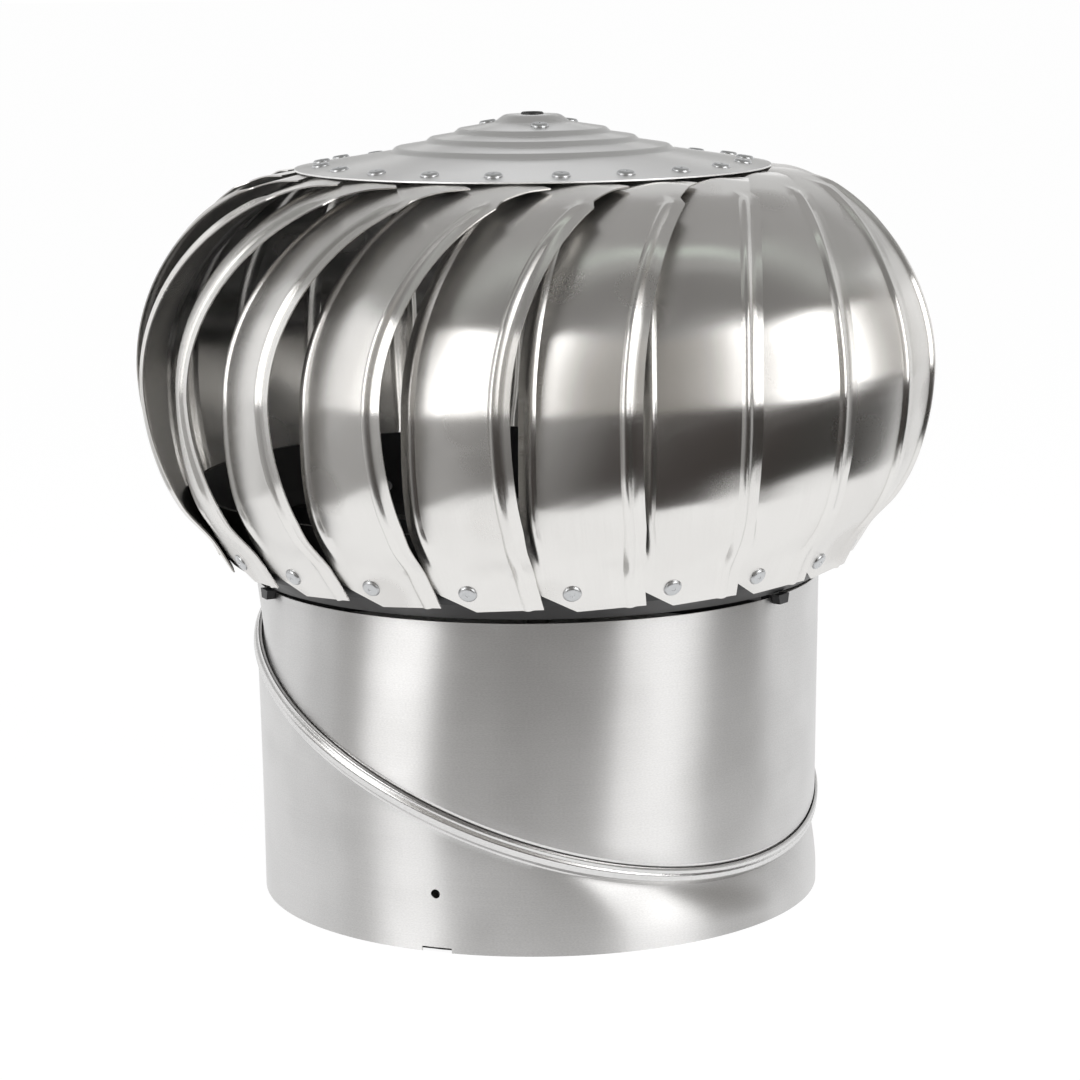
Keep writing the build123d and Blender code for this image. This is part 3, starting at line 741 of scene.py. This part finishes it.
# ---- studio: lengths in metres -----------------------------------------------------------
def bare_material(name):
    """New material with an empty tree and its output."""
    mat = bpy.data.materials.new(name)
    mat.use_nodes = True
    mat.node_tree.nodes.clear()
    return mat, mat.node_tree, mat.node_tree.nodes.new("ShaderNodeOutputMaterial")


def paper(name, colour):
    """Evenly glowing paper, so that a card reflects as its own colour."""
    mat, tree, out = bare_material(name + "_paper")
    glow = tree.nodes.new("ShaderNodeEmission")
    glow.inputs["Color"].default_value = (*colour, 1)
    tree.links.new(glow.outputs["Emission"], out.inputs["Surface"])
    return mat


def linked(name, verts, faces, mat):
    """New stage object."""
    mesh = bpy.data.meshes.new(name)
    mesh.from_pydata(verts, [], faces)
    mesh.materials.append(mat)
    piece = bpy.data.objects.new(name, mesh)
    bpy.context.scene.collection.objects.link(piece)
    return piece


def card(name, shape, mat):
    """Studio card from (vertices, faces) that lights nothing: only reflections see it."""
    piece = linked(name, *shape, mat)
    piece.visible_camera = False
    piece.visible_shadow = False
    piece.visible_diffuse = False
    return piece


def swept(pairs, start, end, n):
    """Strip between two (radius, height) points, swept about Z between two azimuths."""
    verts = []
    for k in range(n + 1):
        a = radians(start + (end - start) * k / n)
        verts += [(radius * cos(a), radius * sin(a), z) for radius, z in pairs]
    return verts, [(2 * k, 2 * k + 2, 2 * k + 3, 2 * k + 1) for k in range(n)]


def upright_card(name, radius, high, start, end, colour):
    """Curved card that stands on the floor between two azimuths."""
    card(name, swept([(radius, 0.0), (radius, high)], start, end, 32), paper(name, colour))


def level_shape(x0, x1, y0, y1, z):
    """Vertices and face of a level rectangle."""
    return [(x0, y0, z), (x1, y0, z), (x1, y1, z), (x0, y1, z)], [(0, 1, 2, 3)]


floor_size, floor_glow, floor_share = 30, 1.12, 0.82
floor_mat, tree, out = bare_material("floor")
diffuse = tree.nodes.new("ShaderNodeBsdfDiffuse")
diffuse.inputs["Color"].default_value = (0.86, 0.86, 0.86, 1)
glow = tree.nodes.new("ShaderNodeEmission")
glow.inputs["Strength"].default_value = floor_glow
mix = tree.nodes.new("ShaderNodeMixShader")
tree.links.new(math_node(tree, "MULTIPLY", seen_rays(tree), floor_share), mix.inputs["Fac"])
tree.links.new(diffuse.outputs["BSDF"], mix.inputs[1])
tree.links.new(glow.outputs["Emission"], mix.inputs[2])
tree.links.new(mix.outputs["Shader"], out.inputs["Surface"])
linked("floor", *level_shape(-floor_size, floor_size, -floor_size, floor_size, 0), floor_mat)

# the world is white to the eye and in reflections, and dimmer as a light
world_light = 0.45
world = bpy.context.scene.world or bpy.data.worlds.new("world")
bpy.context.scene.world = world
world.use_nodes = True
tree = world.node_tree
tree.nodes.clear()
background = tree.nodes.new("ShaderNodeBackground")
background.inputs["Color"].default_value = (1, 1, 1, 1)
strength = remap(tree, seen_rays(tree), 0.0, 1.0, world_light, 1.0)
tree.links.new(strength, background.inputs["Strength"])
out = tree.nodes.new("ShaderNodeOutputWorld")
tree.links.new(background.outputs["Background"], out.inputs["Surface"])

# cards that the sheet reflects: the room's front wall, the table's dark edge and skirting
# by azimuth, and the ceiling from front to back
dark, side, between = (0.055, 0.048, 0.045), (0.42, 0.415, 0.41), (0.20, 0.195, 0.19)
right_dark = (0.05, 0.048, 0.045)
table_r, table_z, skirting_r = 1.6, 0.002, 1.62
wall_r, wall_top = 3.2, 3.3
upright_card("front_wall", wall_r, wall_top, -175, 15, (0.275, 0.26, 0.24))
for name, inner, start, end, colour in (
        ("front", 0.465, -101, -50, dark), ("turn", 0.50, -124, -101, between),
        ("left", 0.53, -187, -124, side), ("right", 0.60, -50, 5, right_dark)):
    shape = swept([(table_r, table_z), (inner, table_z)], start, end, 24)
    card("table_edge_" + name, shape, paper("table_edge_" + name, colour))
for name, high, start, end, colour in (
        ("right", 0.24, -50, 5, dark), ("front", 0.15, -101, -50, dark),
        ("turn", 0.15, -124, -101, between), ("left", 0.15, -187, -124, side)):
    upright_card("skirting_" + name, skirting_r, high, start, end, colour)
ceiling_z = 2.6
for name, half, y0, y1, colour in (
        ("front", wall_r, -wall_r, -0.75, (0.22, 0.215, 0.21)),
        ("middle", wall_r, -0.75, -0.4, (0.36, 0.355, 0.35)),
        ("strip", wall_r, -0.4, -0.18, (0.66, 0.71, 0.66)),
        ("back", wall_r, -0.18, 2.4, (0.37, 0.365, 0.36)),
        ("far", 6.0, 2.4, 6.5, (0.66, 0.66, 0.66))):
    shape = level_shape(-half, half, y0, y1, ceiling_z)
    card("ceiling_" + name, shape, paper("ceiling_" + name, colour))

# painted shade: a dark grey disc on the floor under the throat stands for the shade in there, so
# that its holes look dark too
painted_shade_mat, _, painted_shade_look = new_material("painted_shade_floor")
painted_shade_look.inputs["Base Color"].default_value = (0.2, 0.2, 0.2, 1)
painted_shade_look.inputs["Roughness"].default_value = 0.9
disc = [polar(0.146, 5 * k, 0.0006) for k in range(72)]
card("painted_shade_floor", (disc, [tuple(range(72))]), painted_shade_mat).visible_camera = True


def softbox(name, start, end):
    """Large upright soft lamp between two azimuths, facing the object."""
    middle = radians((start + end) / 2)
    light = bpy.data.lights.new(name, "AREA")
    light.shape = "RECTANGLE"
    light.size = 2 * lamp_r * tan(radians(abs(end - start) / 2))
    light.size_y = lamp_top - lamp_foot
    light.energy = lamp_radiance * pi * light.size * light.size_y
    lamp = bpy.data.objects.new(name, light)
    lamp.location = (cos(middle) * lamp_r, sin(middle) * lamp_r, (lamp_foot + lamp_top) / 2)
    facing_in = Vector((-cos(middle), -sin(middle), 0))
    lamp.rotation_euler = facing_in.to_track_quat("-Z", "Y").to_euler()
    bpy.context.scene.collection.objects.link(lamp)


lamp_r, lamp_foot, lamp_top, lamp_radiance = 1.6, 0.14, 1.5, 3.0
softbox("softbox_left", -157, -129)
softbox("softbox_right", -57, -21)

# camera, solved from the photograph: place, tilt and roll, and its frame of 1080 pixels
camera_place, camera_tilt, camera_roll = (0, -1.699, 0.497), 79.64, -0.66
camera = bpy.data.objects.new("camera", bpy.data.cameras.new("camera"))
camera.data.sensor_width = 36.0
camera.data.lens = 107.73
camera.data.shift_x = 3.0 / 1080
camera.data.shift_y = -4.0 / 1080
camera.data.clip_start = 0.05
camera.data.clip_end = 200.0
camera.matrix_world = (Matrix.Translation(camera_place)
                       @ Matrix.Rotation(radians(camera_tilt), 4, "X")
                       @ Matrix.Rotation(radians(camera_roll), 4, "Z"))
bpy.context.scene.collection.objects.link(camera)
bpy.context.scene.camera = camera
bpy.context.scene.view_settings.view_transform = "Standard"
